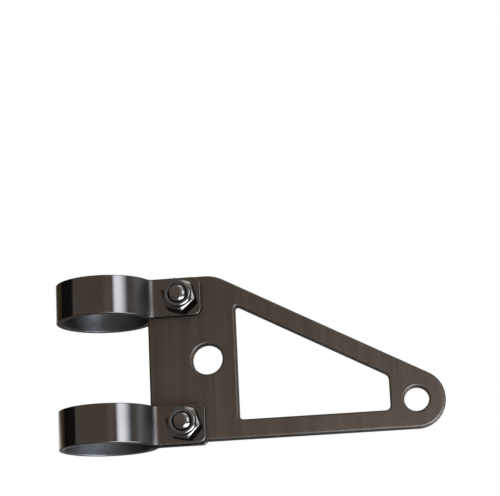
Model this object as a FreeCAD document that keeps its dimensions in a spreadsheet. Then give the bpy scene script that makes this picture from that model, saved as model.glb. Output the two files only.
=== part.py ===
"""Headlight bracket for a motorcycle fork: a flat plate held to the fork tube by two clamp bands.

All sizes are millimetres. The Z axis is the axis of the fork tube, X points to the headlight,
and the plate lies in the plane y = 0, with the screw heads on +Y and the nuts on -Y.
The origin is on the tube's axis, midway between the two clamp bands.
"""
import math
import os

import FreeCAD
import Part
import Sketcher

# Points of a line or an arc, then the sketch's own axes and origin
START, END, CENTRE = range(1, 4)
X_AXIS, Y_AXIS = range(-1, -3, -1)
ORIGIN = (X_AXIS, START)

SIZES = (
    # Fork tube and clamp bands
    ("tube_diameter", 37.0),
    ("band_thickness", 2.5),
    ("band_width", 16.5),
    ("neck_radius", 3.0),
    ("ear_reach", 8.9),
    ("ear_corner", 3.0),
    ("clamp_spacing", 54.5),
    ("bolt_setback", 14.8),
    # Plate
    ("plate_thickness", 6.0),
    ("tube_gap", 0.3),
    ("top_margin", 8.85),
    ("bottom_margin", 7.35),
    ("plate_corner", 1.5),
    ("plate_chamfer", 0.8),
    ("shoulder_distance", 44.0),
    ("shoulder_radius", 16.0),
    ("tip_distance", 130.7),
    ("tip_radius", 12.1),
    ("window_start", 56.2),
    ("window_end", 119.7),
    ("window_corner", 2.0),
    ("slope_bar", 7.8),
    ("bottom_bar", 8.0),
    ("centre_hole_distance", 43.7),
    ("centre_hole_diameter", 13.0),
    ("lamp_hole_diameter", 10.4),
    # Screws and nuts
    ("screw_diameter", 8.0),
    ("screw_length", 20.0),
    ("screw_clearance", 0.5),
    ("screw_end_chamfer", 1.0),
    ("head_diameter", 14.0),
    ("head_height", 4.4),
    ("head_rim", 0.6),
    ("head_flat_diameter", 7.6),
    ("socket_flats", 5.0),
    ("socket_depth", 2.6),
    ("nut_flats", 13.0),
    ("nut_hex_height", 5.6),
    ("nut_height", 8.0),
    ("collar_diameter", 12.0),
    ("collar_chamfer", 0.8),
    ("collar_mouth_diameter", 9.4),
    ("insert_diameter", 10.4),
    ("insert_start", 5.0),
    ("insert_end", 7.3),
    ("thread_clearance", 0.1),
)

doc = FreeCAD.newDocument("headlight_bracket")
sheet = doc.addObject("Spreadsheet::Sheet", "sizes")
for row, (alias, value) in enumerate(SIZES, start=1):
    sheet.set(f"A{row}", alias)
    sheet.set(f"B{row}", str(value))
    sheet.setAlias(f"B{row}", alias)
doc.recompute()


def size(alias):
    """The number that the sheet holds under this name."""
    return float(sheet.get(alias))


# The screws follow the tube, and the plate's upper and lower edges follow the screws
BOLT_X = "(sizes.tube_diameter / 2 + sizes.bolt_setback)"
PLATE_TOP = "(sizes.clamp_spacing / 2 + sizes.top_margin)"
TIP_DROP = "(sizes.clamp_spacing / 2 + sizes.bottom_margin - sizes.tip_radius)"


def bolt_distance():
    """How far the screws are from the tube's axis."""
    return size("tube_diameter") / 2 + size("bolt_setback")


def plate_top():
    """The height of the plate's upper edge."""
    return size("clamp_spacing") / 2 + size("top_margin")


def tip_drop():
    """How far the headlight hole is below the middle of the clamps."""
    return size("clamp_spacing") / 2 + size("bottom_margin") - size("tip_radius")


def new_body(name, x=None, y=None, z=None):
    """A body whose place follows from expressions in the sheet's sizes."""
    body = doc.addObject("PartDesign::Body", name)
    body.Label = name
    for axis, expression in (("x", x), ("y", y), ("z", z)):
        if expression:
            body.setExpression(f"Placement.Base.{axis}", expression)
    return body


def origin_plane(body, role):
    """One of the body's own origin planes."""
    for feature in body.Origin.OriginFeatures:
        if feature.Role == role:
            return feature
    raise ValueError(role)


def new_sketch(body, name, role):
    """A sketch on one of the body's origin planes."""
    sketch = body.newObject("Sketcher::SketchObject", name)
    sketch.AttachmentSupport = [(origin_plane(body, role), "")]
    sketch.MapMode = "FlatFace"
    return sketch


def line(sketch, start, end):
    """A straight line of the sketch, as its geometry number."""
    segment = Part.LineSegment(FreeCAD.Vector(*start, 0), FreeCAD.Vector(*end, 0))
    return sketch.addGeometry(segment, False)


def circle_shape(centre, radius):
    """A full circle in the sketch plane."""
    return Part.Circle(FreeCAD.Vector(*centre, 0), FreeCAD.Vector(0, 0, 1), radius)


def arc(sketch, centre, radius, first, last):
    """A counter-clockwise arc between two angles in radians."""
    return sketch.addGeometry(Part.ArcOfCircle(circle_shape(centre, radius), first, last), False)


def circle(sketch, centre, radius):
    """A full circle, as its geometry number."""
    return sketch.addGeometry(circle_shape(centre, radius), False)


def relate(sketch, kind, *places):
    """A constraint that has no size."""
    sketch.addConstraint(Sketcher.Constraint(kind, *places))


def drive(sketch, name, expression, kind, *places_and_value):
    """A dimension with a name, whose value follows from an expression in the sheet's sizes."""
    number = sketch.addConstraint(Sketcher.Constraint(kind, *places_and_value))
    sketch.renameConstraint(number, name)
    sketch.setExpression(f"Constraints.{name}", expression)


def number(expression):
    """The value of an expression in the sheet's sizes."""
    return float(sheet.evalExpression(expression))


def polygon(sketch, name, corners):
    """A closed ring of lines, each corner given as two expressions in the sheet's sizes."""
    points = [(number(across), number(along)) for across, along in corners]
    sides = [line(sketch, point, points[n - len(points) + 1]) for n, point in enumerate(points)]
    for n, side in enumerate(sides):
        relate(sketch, "Coincident", side, END, sides[n - len(sides) + 1], START)
    for n, side in enumerate(sides):
        for kind, zero_line, value, expression in (
            ("DistanceX", Y_AXIS, points[n][0], corners[n][0]),
            ("DistanceY", X_AXIS, points[n][1], corners[n][1]),
        ):
            label = f"{name}_{n}_{kind}"
            if value > 0:
                drive(sketch, label, expression, kind, *ORIGIN, side, START, value)
            elif value < 0:
                drive(sketch, label, f"-({expression})", kind, side, START, *ORIGIN, -value)
            else:
                relate(sketch, "PointOnObject", side, START, zero_line)


def pad_both_ways(body, sketch, name, expression):
    """A pad with half of its length on each side of the sketch."""
    pad = body.newObject("PartDesign::Pad", name)
    pad.Profile = sketch
    pad.SideType = "Symmetric"
    pad.setExpression("Length", expression)
    doc.recompute()
    return pad


def cut_through(body, sketch, name):
    """A pocket through the whole body, both ways from the sketch."""
    before = body.Shape.Volume
    pocket = body.newObject("PartDesign::Pocket", name)
    pocket.Profile = sketch
    pocket.SideType = "Symmetric"
    pocket.Type = "ThroughAll"
    doc.recompute()
    if body.Shape.Volume >= before:
        raise ValueError(f"{name} cuts nothing")
    return pocket


def spin(body, sketch, kind, name):
    """A full turn of the sketch about its own vertical axis, to add or to take away."""
    before = body.Shape.Volume if body.Tip else 0
    feature = body.newObject(kind, name)
    feature.Profile = sketch
    feature.ReferenceAxis = (sketch, ["V_Axis"])
    feature.Angle = 360
    doc.recompute()
    change = body.Shape.Volume - before
    if (change > 0) != (kind == "PartDesign::Revolution"):
        raise ValueError(f"{name} changes the volume by {change:.1f}")
    return feature


def edges_where(feature, test):
    """Names of the feature's edges for which the test is true."""
    return [f"Edge{n}" for n, edge in enumerate(feature.Shape.Edges, start=1) if test(edge)]


def round_edges(body, base, name, expression, test):
    """A fillet on the edges of the base feature that the test picks."""
    fillet = body.newObject("PartDesign::Fillet", name)
    fillet.Base = (base, edges_where(base, test))
    fillet.setExpression("Radius", expression)
    doc.recompute()
    return fillet


def break_edges(body, base, name, expression, test):
    """An equal chamfer on the edges of the base feature that the test picks."""
    chamfer = body.newObject("PartDesign::Chamfer", name)
    chamfer.Base = (base, edges_where(base, test))
    chamfer.setExpression("Size", expression)
    doc.recompute()
    return chamfer


def runs_along_y(edge):
    """True for a straight edge across the plate or an ear."""
    if not isinstance(edge.Curve, Part.Line):
        return False
    return abs(edge.tangentAt(edge.FirstParameter).y) > 0.999


def near(first, second):
    """True for two lengths that agree within a thousandth of a millimetre."""
    return abs(first - second) < 1e-3


def bracket_plate():
    """The flat plate: outline and window in one sketch, then the holes, corners and edges."""
    body = new_body("bracket_plate")
    left = size("tube_diameter") / 2 + size("tube_gap")
    top = plate_top()
    tip_x = size("tip_distance")
    tip_z = -tip_drop()
    tip_r = size("tip_radius")
    shoulder_x = size("shoulder_distance")
    shoulder_r = size("shoulder_radius")
    shoulder_z = top - shoulder_r
    bottom = tip_z - tip_r

    # Direction square to the sloping edge, which touches both the shoulder and the tip round
    across_x = tip_x - shoulder_x
    across_z = tip_z - shoulder_z
    between = math.hypot(across_x, across_z)
    normal = math.atan2(across_z, across_x) + math.acos((shoulder_r - tip_r) / between)
    normal_x = math.cos(normal)
    normal_z = math.sin(normal)
    slope_start = (shoulder_x + shoulder_r * normal_x, shoulder_z + shoulder_r * normal_z)
    slope_end = (tip_x + tip_r * normal_x, tip_z + tip_r * normal_z)

    outline = new_sketch(body, "plate_outline", "XZ_Plane")
    edge_left = line(outline, (left, top), (left, bottom))
    edge_bottom = line(outline, (left, bottom), (tip_x, bottom))
    tip = arc(outline, (tip_x, tip_z), tip_r, -math.pi / 2, normal)
    slope = line(outline, slope_end, slope_start)
    shoulder = arc(outline, (shoulder_x, shoulder_z), shoulder_r, normal, math.pi / 2)
    edge_top = line(outline, (shoulder_x, top), (left, top))
    relate(outline, "Coincident", edge_left, END, edge_bottom, START)
    relate(outline, "Tangent", edge_bottom, END, tip, START)
    relate(outline, "Tangent", tip, END, slope, START)
    relate(outline, "Tangent", slope, END, shoulder, START)
    relate(outline, "Tangent", shoulder, END, edge_top, START)
    relate(outline, "Coincident", edge_top, END, edge_left, START)
    relate(outline, "Vertical", edge_left)
    relate(outline, "Horizontal", edge_bottom)
    relate(outline, "Horizontal", edge_top)
    drive(outline, "left", "sizes.tube_diameter / 2 + sizes.tube_gap",
          "DistanceX", *ORIGIN, edge_left, START, left)
    drive(outline, "top", PLATE_TOP, "DistanceY", *ORIGIN, edge_left, START, top)
    drive(outline, "tip_distance", "sizes.tip_distance", "DistanceX", *ORIGIN, tip, CENTRE, tip_x)
    drive(outline, "tip_drop", TIP_DROP, "DistanceY", tip, CENTRE, *ORIGIN, -tip_z)
    drive(outline, "tip_radius", "sizes.tip_radius", "Radius", tip, tip_r)
    drive(outline, "shoulder_distance", "sizes.shoulder_distance",
          "DistanceX", *ORIGIN, shoulder, CENTRE, shoulder_x)
    drive(outline, "shoulder_radius", "sizes.shoulder_radius", "Radius", shoulder, shoulder_r)

    # Window: upright ends, a level lower edge and an upper edge parallel to the slope
    window_x0 = size("window_start")
    window_x1 = size("window_end")
    window_z = bottom + size("bottom_bar")
    reach = normal_x * tip_x + normal_z * tip_z + tip_r - size("slope_bar")
    window_left_top = (window_x0, (reach - normal_x * window_x0) / normal_z)
    window_right_top = (window_x1, (reach - normal_x * window_x1) / normal_z)
    window_left = line(outline, window_left_top, (window_x0, window_z))
    window_bottom = line(outline, (window_x0, window_z), (window_x1, window_z))
    window_right = line(outline, (window_x1, window_z), window_right_top)
    window_top = line(outline, window_right_top, window_left_top)
    relate(outline, "Coincident", window_left, END, window_bottom, START)
    relate(outline, "Coincident", window_bottom, END, window_right, START)
    relate(outline, "Coincident", window_right, END, window_top, START)
    relate(outline, "Coincident", window_top, END, window_left, START)
    relate(outline, "Vertical", window_left)
    relate(outline, "Horizontal", window_bottom)
    relate(outline, "Vertical", window_right)
    relate(outline, "Parallel", window_top, slope)
    drive(outline, "window_start", "sizes.window_start",
          "DistanceX", *ORIGIN, window_left, START, window_x0)
    drive(outline, "window_end", "sizes.window_end",
          "DistanceX", *ORIGIN, window_right, START, window_x1)
    drive(outline, "bottom_bar", "sizes.bottom_bar",
          "DistanceY", edge_bottom, START, window_bottom, START, size("bottom_bar"))
    drive(outline, "slope_bar", "sizes.slope_bar",
          "Distance", window_left, START, slope, size("slope_bar"))
    pad_both_ways(body, outline, "plate_blank", "sizes.plate_thickness")

    holes = new_sketch(body, "plate_holes", "XZ_Plane")
    hole_x = size("centre_hole_distance")
    centre_hole = circle(holes, (hole_x, 0), size("centre_hole_diameter") / 2)
    relate(holes, "PointOnObject", centre_hole, CENTRE, X_AXIS)
    drive(holes, "centre_hole_distance", "sizes.centre_hole_distance",
          "DistanceX", *ORIGIN, centre_hole, CENTRE, hole_x)
    drive(holes, "centre_hole_diameter", "sizes.centre_hole_diameter",
          "Diameter", centre_hole, size("centre_hole_diameter"))
    lamp_hole = circle(holes, (tip_x, tip_z), size("lamp_hole_diameter") / 2)
    drive(holes, "lamp_hole_distance", "sizes.tip_distance",
          "DistanceX", *ORIGIN, lamp_hole, CENTRE, tip_x)
    drive(holes, "lamp_hole_drop", TIP_DROP, "DistanceY", lamp_hole, CENTRE, *ORIGIN, -tip_z)
    drive(holes, "lamp_hole_diameter", "sizes.lamp_hole_diameter",
          "Diameter", lamp_hole, size("lamp_hole_diameter"))
    bolt_x = bolt_distance()
    bolt_z = size("clamp_spacing") / 2
    bolt_diameter = size("screw_diameter") + size("screw_clearance")
    upper_hole = circle(holes, (bolt_x, bolt_z), bolt_diameter / 2)
    lower_hole = circle(holes, (bolt_x, -bolt_z), bolt_diameter / 2)
    drive(holes, "upper_hole_distance", BOLT_X, "DistanceX", *ORIGIN, upper_hole, CENTRE, bolt_x)
    drive(holes, "upper_hole_height", "sizes.clamp_spacing / 2",
          "DistanceY", *ORIGIN, upper_hole, CENTRE, bolt_z)
    drive(holes, "lower_hole_distance", BOLT_X, "DistanceX", *ORIGIN, lower_hole, CENTRE, bolt_x)
    drive(holes, "lower_hole_depth", "sizes.clamp_spacing / 2",
          "DistanceY", lower_hole, CENTRE, *ORIGIN, bolt_z)
    relate(holes, "Equal", upper_hole, lower_hole)
    drive(holes, "bolt_hole_diameter", "sizes.screw_diameter + sizes.screw_clearance",
          "Diameter", upper_hole, bolt_diameter)
    drilled = cut_through(body, holes, "plate_drilling")

    def in_window(edge):
        x = edge.CenterOfMass.x
        return runs_along_y(edge) and (near(x, window_x0) or near(x, window_x1))

    def at_left(edge):
        return runs_along_y(edge) and near(edge.CenterOfMass.x, left)

    def on_a_face(edge):
        half = size("plate_thickness") / 2
        if any(not near(abs(point.y), half) for point in edge.discretize(3)):
            return False
        bolt_hole = isinstance(edge.Curve, Part.Circle) and near(edge.Curve.Radius, bolt_diameter / 2)
        return not bolt_hole

    window_rounded = round_edges(body, drilled, "window_corners", "sizes.window_corner", in_window)
    rounded = round_edges(body, window_rounded, "plate_corners", "sizes.plate_corner", at_left)
    break_edges(body, rounded, "plate_edges", "sizes.plate_chamfer", on_a_face)
    return body


def clamp_band(name, height):
    """A strip bent round the tube, with a flat ear on each face of the plate."""
    body = new_body(name, z=height)
    inner = size("tube_diameter") / 2
    thick = size("band_thickness")
    outer = inner + thick
    neck = size("neck_radius")
    ear_in = size("plate_thickness") / 2
    ear_out = ear_in + thick
    end = bolt_distance() + size("ear_reach")
    neck_y = ear_out + neck
    neck_x = math.sqrt((outer + neck) ** 2 - neck_y ** 2)
    lean = math.atan2(neck_y, neck_x)
    down = 1.5 * math.pi
    up = math.pi / 2

    strip = new_sketch(body, name + "_strip", "XY_Plane")
    ring_out = arc(strip, (0, 0), outer, lean, 2 * math.pi - lean)
    ring_in = arc(strip, (0, 0), inner, lean, 2 * math.pi - lean)
    front_neck_out = arc(strip, (neck_x, -neck_y), neck, up, math.pi - lean)
    front_neck_in = arc(strip, (neck_x, -neck_y), neck + thick, up, math.pi - lean)
    back_neck_out = arc(strip, (neck_x, neck_y), neck, math.pi + lean, down)
    back_neck_in = arc(strip, (neck_x, neck_y), neck + thick, math.pi + lean, down)
    front_out = line(strip, (neck_x, -ear_out), (end, -ear_out))
    front_end = line(strip, (end, -ear_out), (end, -ear_in))
    front_in = line(strip, (end, -ear_in), (neck_x, -ear_in))
    back_in = line(strip, (neck_x, ear_in), (end, ear_in))
    back_end = line(strip, (end, ear_in), (end, ear_out))
    back_out = line(strip, (end, ear_out), (neck_x, ear_out))

    relate(strip, "Tangent", ring_out, END, front_neck_out, END)
    relate(strip, "Tangent", front_neck_out, START, front_out, START)
    relate(strip, "Coincident", front_out, END, front_end, START)
    relate(strip, "Coincident", front_end, END, front_in, START)
    relate(strip, "Tangent", front_in, END, front_neck_in, START)
    relate(strip, "Tangent", front_neck_in, END, ring_in, END)
    relate(strip, "Tangent", ring_in, START, back_neck_in, START)
    relate(strip, "Tangent", back_neck_in, END, back_in, START)
    relate(strip, "Coincident", back_in, END, back_end, START)
    relate(strip, "Coincident", back_end, END, back_out, START)
    relate(strip, "Tangent", back_out, END, back_neck_out, END)
    relate(strip, "Tangent", back_neck_out, START, ring_out, START)
    for level in (front_out, front_in, back_in, back_out):
        relate(strip, "Horizontal", level)
    for upright in (front_end, back_end):
        relate(strip, "Vertical", upright)
    for ring in (ring_out, ring_in):
        relate(strip, "Coincident", ring, CENTRE, *ORIGIN)
    drive(strip, "ring_inside", "sizes.tube_diameter / 2", "Radius", ring_in, inner)
    drive(strip, "ring_outside", "sizes.tube_diameter / 2 + sizes.band_thickness", "Radius", ring_out, outer)
    for side, neck_out, neck_in in (
        ("front", front_neck_out, front_neck_in),
        ("back", back_neck_out, back_neck_in),
    ):
        drive(strip, side + "_neck_out", "sizes.neck_radius", "Radius", neck_out, neck)
        drive(strip, side + "_neck_in", "sizes.neck_radius + sizes.band_thickness",
              "Radius", neck_in, neck + thick)
    face = "sizes.plate_thickness / 2"
    shell = "sizes.plate_thickness / 2 + sizes.band_thickness"
    drive(strip, "front_face", face, "DistanceY", front_in, START, *ORIGIN, ear_in)
    drive(strip, "front_shell", shell, "DistanceY", front_out, END, *ORIGIN, ear_out)
    drive(strip, "back_face", face, "DistanceY", *ORIGIN, back_in, END, ear_in)
    drive(strip, "back_shell", shell, "DistanceY", *ORIGIN, back_out, START, ear_out)
    ear_end = BOLT_X + " + sizes.ear_reach"
    drive(strip, "front_ear_end", ear_end, "DistanceX", *ORIGIN, front_end, START, end)
    drive(strip, "back_ear_end", ear_end, "DistanceX", *ORIGIN, back_end, START, end)
    pad_both_ways(body, strip, name + "_bent", "sizes.band_width")

    hole = new_sketch(body, name + "_hole", "XZ_Plane")
    bolt_x = bolt_distance()
    diameter = size("screw_diameter") + size("screw_clearance")
    bolt = circle(hole, (bolt_x, 0), diameter / 2)
    relate(hole, "PointOnObject", bolt, CENTRE, X_AXIS)
    drive(hole, "bolt_distance", BOLT_X, "DistanceX", *ORIGIN, bolt, CENTRE, bolt_x)
    drive(hole, "bolt_hole", "sizes.screw_diameter + sizes.screw_clearance", "Diameter", bolt, diameter)
    drilled = cut_through(body, hole, name + "_drilling")

    def ear_corner(edge):
        return runs_along_y(edge) and near(edge.CenterOfMass.x, end)

    round_edges(body, drilled, name + "_ear_corners", "sizes.ear_corner", ear_corner)
    return body


def hexagon(body, kind, name, flats, height, start=None):
    """A hexagonal prism towards -Y, given across its flats, with two corners along X."""
    prism = body.newObject(kind, name)
    prism.AttachmentSupport = [(origin_plane(body, "XZ_Plane"), "")]
    prism.MapMode = "FlatFace"
    prism.Polygon = 6
    prism.setExpression("Circumradius", f"{flats} / 2 / cos(30 deg)")
    prism.setExpression("Height", height)
    if start:
        prism.setExpression("AttachmentOffset.Base.z", start)
    doc.recompute()
    return prism


def clamp_screw(name, height):
    """A button-head screw along Y, its head seated on the back ear."""
    body = new_body(
        name,
        x=BOLT_X,
        y="sizes.plate_thickness / 2 + sizes.band_thickness",
        z=height,
    )
    shank = size("screw_diameter") / 2
    length = size("screw_length")
    cut = size("screw_end_chamfer")
    head = size("head_diameter") / 2
    tall = size("head_height")
    rim = size("head_rim")
    flat = size("head_flat_diameter") / 2
    # Centre of the dome, on the screw's axis and equally far from the rim and the flat
    dome_y = (tall ** 2 + flat ** 2 - rim ** 2 - head ** 2) / (2 * (tall - rim))
    dome_r = math.hypot(flat, tall - dome_y)
    dome_first = math.atan2(rim - dome_y, head)
    dome_last = math.atan2(tall - dome_y, flat)

    profile = new_sketch(body, name + "_profile", "XY_Plane")
    middle = line(profile, (0, tall), (0, -length))
    tip = line(profile, (0, -length), (shank - cut, -length))
    tip_cut = line(profile, (shank - cut, -length), (shank, cut - length))
    side = line(profile, (shank, cut - length), (shank, 0))
    seat = line(profile, (shank, 0), (head, 0))
    head_side = line(profile, (head, 0), (head, rim))
    dome = arc(profile, (0, dome_y), dome_r, dome_first, dome_last)
    top = line(profile, (flat, tall), (0, tall))
    for first, second in ((middle, tip), (tip, tip_cut), (tip_cut, side), (side, seat),
                          (seat, head_side), (head_side, dome), (dome, top), (top, middle)):
        relate(profile, "Coincident", first, END, second, START)
    for upright in (side, head_side):
        relate(profile, "Vertical", upright)
    for level in (tip, top):
        relate(profile, "Horizontal", level)
    relate(profile, "PointOnObject", middle, START, Y_AXIS)
    relate(profile, "PointOnObject", middle, END, Y_AXIS)
    relate(profile, "PointOnObject", dome, CENTRE, Y_AXIS)
    relate(profile, "PointOnObject", seat, START, X_AXIS)
    relate(profile, "PointOnObject", seat, END, X_AXIS)
    drive(profile, "screw_length", "sizes.screw_length", "DistanceY", middle, END, *ORIGIN, length)
    drive(profile, "shank_radius", "sizes.screw_diameter / 2", "DistanceX", *ORIGIN, seat, START, shank)
    drive(profile, "end_cut_across", "sizes.screw_end_chamfer", "DistanceX", tip, END, side, START, cut)
    drive(profile, "end_cut_along", "sizes.screw_end_chamfer", "DistanceY", tip, END, side, START, cut)
    drive(profile, "head_radius", "sizes.head_diameter / 2", "DistanceX", *ORIGIN, seat, END, head)
    drive(profile, "head_rim", "sizes.head_rim", "DistanceY", head_side, START, head_side, END, rim)
    drive(profile, "head_height", "sizes.head_height", "DistanceY", *ORIGIN, middle, START, tall)
    drive(profile, "head_flat", "sizes.head_flat_diameter / 2", "DistanceX", *ORIGIN, top, START, flat)
    spin(body, profile, "PartDesign::Revolution", name + "_turned")
    before = body.Shape.Volume
    hexagon(body, "PartDesign::SubtractivePrism", name + "_socket",
            "sizes.socket_flats", "sizes.socket_depth", "-sizes.head_height")
    if body.Shape.Volume >= before:
        raise ValueError(f"{name} has no socket")
    return body


BORE = "(sizes.screw_diameter / 2 + sizes.thread_clearance)"
FRONT_EAR = "-(sizes.plate_thickness / 2 + sizes.band_thickness)"


def clamp_nut(name, height):
    """A locking nut along Y, seated on the front ear: a hexagon and a collar for the insert."""
    body = new_body(name, x=BOLT_X, y=FRONT_EAR, z=height)
    hexagon(body, "PartDesign::AdditivePrism", name + "_hexagon", "sizes.nut_flats", "sizes.nut_hex_height")

    collar = new_sketch(body, name + "_collar", "XY_Plane")
    wall = "sizes.collar_diameter / 2"
    root = "-sizes.nut_hex_height / 2"
    end = "-sizes.nut_height"
    polygon(collar, "collar", (("0", root), (wall, root), (wall, end), ("0", end)))
    turned = spin(body, collar, "PartDesign::Revolution", name + "_collar_turned")

    def collar_rim(edge):
        on_end = near(edge.CenterOfMass.y, -size("nut_height"))
        return on_end and isinstance(edge.Curve, Part.Circle)

    break_edges(body, turned, name + "_collar_rim", "sizes.collar_chamfer", collar_rim)

    # The bore, the seat of the insert and the collar's mouth, which is narrower than the insert
    ring = "sizes.insert_diameter / 2"
    mouth = "sizes.collar_mouth_diameter / 2"
    bore = new_sketch(body, name + "_bore", "XY_Plane")
    polygon(bore, "bore", (
        ("0", "0"),
        (BORE, "0"),
        (BORE, "-sizes.insert_start"),
        (ring, "-sizes.insert_start"),
        (ring, "-sizes.insert_end"),
        (mouth, "-sizes.insert_end"),
        (mouth, end),
        ("0", end),
    ))
    spin(body, bore, "PartDesign::Groove", name + "_bored")
    return body


def nut_insert(name, height):
    """The plastic ring that locks the nut, held behind the collar's mouth."""
    body = new_body(name, x=BOLT_X, y=FRONT_EAR, z=height)
    ring = new_sketch(body, name + "_ring", "XY_Plane")
    outside = "sizes.insert_diameter / 2"
    start = "-sizes.insert_start"
    end = "-sizes.insert_end"
    polygon(ring, "ring", ((BORE, start), (outside, start), (outside, end), (BORE, end)))
    spin(body, ring, "PartDesign::Revolution", name + "_turned")
    return body


UPPER = "sizes.clamp_spacing / 2"
LOWER = "-sizes.clamp_spacing / 2"
bodies = [
    bracket_plate(),
    clamp_band("upper_clamp_band", UPPER),
    clamp_band("lower_clamp_band", LOWER),
    clamp_screw("upper_clamp_screw", UPPER),
    clamp_screw("lower_clamp_screw", LOWER),
    clamp_nut("upper_clamp_nut", UPPER),
    clamp_nut("lower_clamp_nut", LOWER),
    nut_insert("upper_nut_insert", UPPER),
    nut_insert("lower_nut_insert", LOWER),
]
doc.recompute()

for feature in doc.Objects:
    if "Invalid" in feature.State or "Error" in feature.State:
        raise ValueError(f"{feature.Label} does not build: {feature.State}")
for body in bodies:
    if body.Shape.isNull() or not body.Shape.isValid() or len(body.Shape.Solids) != 1:
        raise ValueError(f"{body.Label} is not one sound solid")

os.makedirs("parts", exist_ok=True)
for body in bodies:
    body.Shape.exportStep(f"parts/{body.Label}.step")
    box = body.Shape.BoundBox
    print(f"{body.Label}: {body.Shape.Volume:.0f} mm3,"
          f" x {box.XMin:.2f} to {box.XMax:.2f}, y {box.YMin:.2f} to {box.YMax:.2f},"
          f" z {box.ZMin:.2f} to {box.ZMax:.2f}")
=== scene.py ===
# %% [markdown]
# # A headlight bracket for a motorcycle fork
#
# The bracket is a flat steel plate with a triangular window. Two polished bands clamp it to the fork tube,
# each closed by a button-head screw and a locking nut. The headlight is bolted to the hole in the tip.
# The solid model is loaded first, as a fixed frame. Every piece that shows is then modelled in its place.

# %% Load the frame
from math import acos, atan2, cos, hypot, pi, radians, sin, sqrt, tan

import bmesh
import bpy
from bmesh.types import BMEdge, BMFace, BMVert
from mathutils import Matrix, Vector


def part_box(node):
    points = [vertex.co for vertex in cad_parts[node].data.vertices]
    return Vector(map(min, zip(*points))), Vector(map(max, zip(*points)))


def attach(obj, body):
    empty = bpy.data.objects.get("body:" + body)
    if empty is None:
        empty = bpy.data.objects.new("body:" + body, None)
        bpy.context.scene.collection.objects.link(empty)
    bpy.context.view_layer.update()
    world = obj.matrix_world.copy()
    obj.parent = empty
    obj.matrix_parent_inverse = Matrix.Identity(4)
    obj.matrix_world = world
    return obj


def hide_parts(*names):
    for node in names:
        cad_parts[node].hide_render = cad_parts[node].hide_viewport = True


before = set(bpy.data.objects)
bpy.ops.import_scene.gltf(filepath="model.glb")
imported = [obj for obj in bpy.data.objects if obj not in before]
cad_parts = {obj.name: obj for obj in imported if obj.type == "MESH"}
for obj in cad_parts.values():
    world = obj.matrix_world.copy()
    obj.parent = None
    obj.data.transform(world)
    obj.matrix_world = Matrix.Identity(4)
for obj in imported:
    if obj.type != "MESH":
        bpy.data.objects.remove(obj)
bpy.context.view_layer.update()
print("CAD nodes:", ", ".join(sorted(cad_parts)))

# %% [markdown]
# ## The camera
#
# The picture was taken from a little below the bracket and a little to the headlight's side, with the camera
# slightly turned about its own axis. A long lens keeps the upright edges nearly parallel. The camera could be moved
# by eye until the picture fits. Here its place is worked out, from where the middle of the fork tube's axis shows in
# a picture of 500 by 496 pixels.

# %% Camera
AZIMUTH = radians(6.0)
ELEVATION = radians(-14.2)
ROLL = radians(-2.7)
IMAGE_WIDTH, IMAGE_HEIGHT = 500, 496
SENSOR_WIDTH = 36
FOCAL_PIXELS = 1842
DISTANCE = 0.7868
ORIGIN_PIXEL = (106.7, 366.9)


def add_object(name, data):
    """Puts a mesh, a camera or a lamp into the scene, as an object at the origin."""
    thing = bpy.data.objects.new(name, data)
    bpy.context.scene.collection.objects.link(thing)
    return thing


line_of_sight = Vector((-sin(AZIMUTH) * cos(ELEVATION), cos(AZIMUTH) * cos(ELEVATION), -sin(ELEVATION)))
level = Vector((cos(AZIMUTH), sin(AZIMUTH), 0))
upright = level.cross(line_of_sight)
right = cos(ROLL) * level + sin(ROLL) * upright
up = cos(ROLL) * upright - sin(ROLL) * level

across = (ORIGIN_PIXEL[0] - IMAGE_WIDTH / 2) / FOCAL_PIXELS
down = (ORIGIN_PIXEL[1] - IMAGE_HEIGHT / 2) / FOCAL_PIXELS
eye = -DISTANCE * (line_of_sight + across * right - down * up)

camera_data = bpy.data.cameras.new("camera")
camera_data.sensor_width = SENSOR_WIDTH
camera_data.lens = SENSOR_WIDTH * FOCAL_PIXELS / IMAGE_WIDTH
camera = add_object("camera", camera_data)
turn = Matrix((right, up, -line_of_sight)).transposed()
camera.matrix_world = Matrix.Translation(eye) @ turn.to_4x4()
bpy.context.scene.camera = camera
print("camera at", [round(value, 3) for value in eye], "with a lens of", round(camera_data.lens, 1), "mm")

# %% [markdown]
# ## The sizes
#
# All sizes are metres, and agree with the solid model. Z runs up the fork tube, X to the headlight, and the plate
# lies in the plane y = 0. The nuts are on the -Y side, which is the side that the camera sees.

# %% Sizes of the bracket
MM = 0.001
PLATE_THICKNESS = 6 * MM
PLATE_LEFT, PLATE_TOP = 18.8 * MM, 36.1 * MM
SHOULDER = Vector((44 * MM, 0, 20.1 * MM))
SHOULDER_RADIUS = 16 * MM
TIP = Vector((130.7 * MM, 0, -22.5 * MM))
TIP_RADIUS = 12.1 * MM
PLATE_BOTTOM = TIP.z - TIP_RADIUS
TUBE_RADIUS = 18.5 * MM
BAND_THICKNESS, BAND_WIDTH = 2.5 * MM, 16.5 * MM
NECK_RADIUS = 3 * MM
CLAMP_HEIGHT = 27.25 * MM
BOLT_X = 33.3 * MM
BOLT_HOLE_RADIUS = 4.25 * MM
EAR_END = BOLT_X + 8.9 * MM
EAR_FACE = PLATE_THICKNESS / 2 + BAND_THICKNESS
print("plate", round(1000 * (TIP.x + TIP_RADIUS - PLATE_LEFT), 1), "mm long")

# %% [markdown]
# ## Finishes
#
# The plate is a satin plating over metal that was brushed upright, so its gloss breaks into fine upright streaks.
# Its dark base colour is painted shade, for the dim room that the plating mirrors. A picture of scratches would do,
# but a noise texture stretched along Z gives streaks at any distance.
# A fine noise drives roughness and a very shallow bump, because on the real metal both come from the same brush
# marks, and a broad one drives the colour. A dark Specular Tint is the colour of the metal at a grazing angle.

# %% Helpers for finishes
NOISE_ROUGHNESS = 0.55
NOISE_LOW, NOISE_HIGH = 0.3, 0.7


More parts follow.
